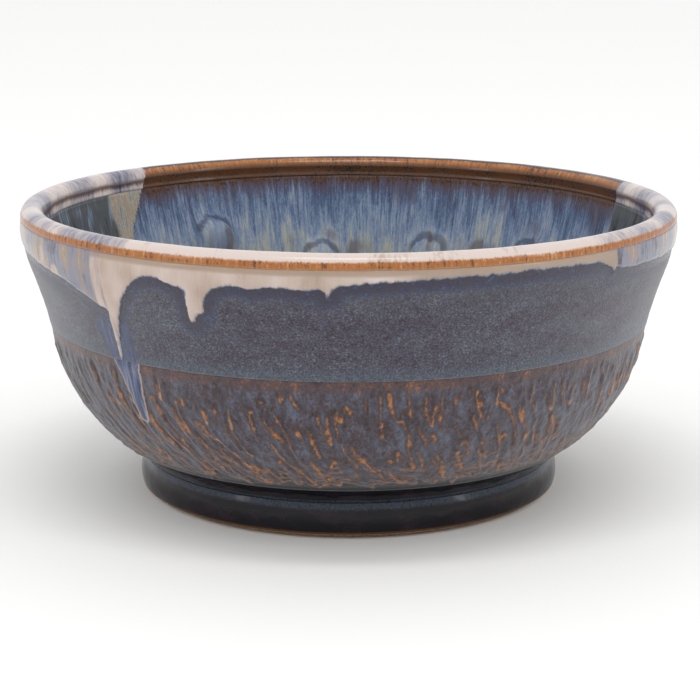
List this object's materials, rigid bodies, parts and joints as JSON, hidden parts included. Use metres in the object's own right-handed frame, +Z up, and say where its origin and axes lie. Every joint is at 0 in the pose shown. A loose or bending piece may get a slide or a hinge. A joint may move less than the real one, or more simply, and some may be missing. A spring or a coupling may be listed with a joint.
{
  "type": "lather bowl",
  "caption": "Hand-thrown stoneware bowl on a foot ring, for working up shaving lather, with clay knobs inside and a bark-textured slip band outside.",
  "frame": {"origin": "centre of the foot ring's resting plane", "axes": "+Z up along the bowl's turning axis; the front, where the glaze ran furthest, faces -Y"},
  "size_m": [0.14, 0.1401, 0.062],
  "materials": {
    "stoneware": "matte, bare fired clay",
    "liner_glaze": "gloss",
    "lip_glaze": "gloss",
    "cream_glaze": "gloss",
    "matte_blue_glaze": "satin",
    "bark_slip": "satin, textured",
    "dark_glaze": "gloss"
  },
  "bodies": {
    "root": {"clay_body": "stoneware", "foot_ring": "stoneware", "lather_knobs": "liner_glaze", "inner_glaze": "liner_glaze", "lip_glaze": "lip_glaze", "collar_glaze": "cream_glaze", "glaze_runs": "cream_glaze", "band_glaze": "matte_blue_glaze", "bark_slip": "bark_slip", "neck_glaze": "dark_glaze", "foot_glaze": "dark_glaze", "recess_glaze": "dark_glaze"}
  },
  "joints": []
}
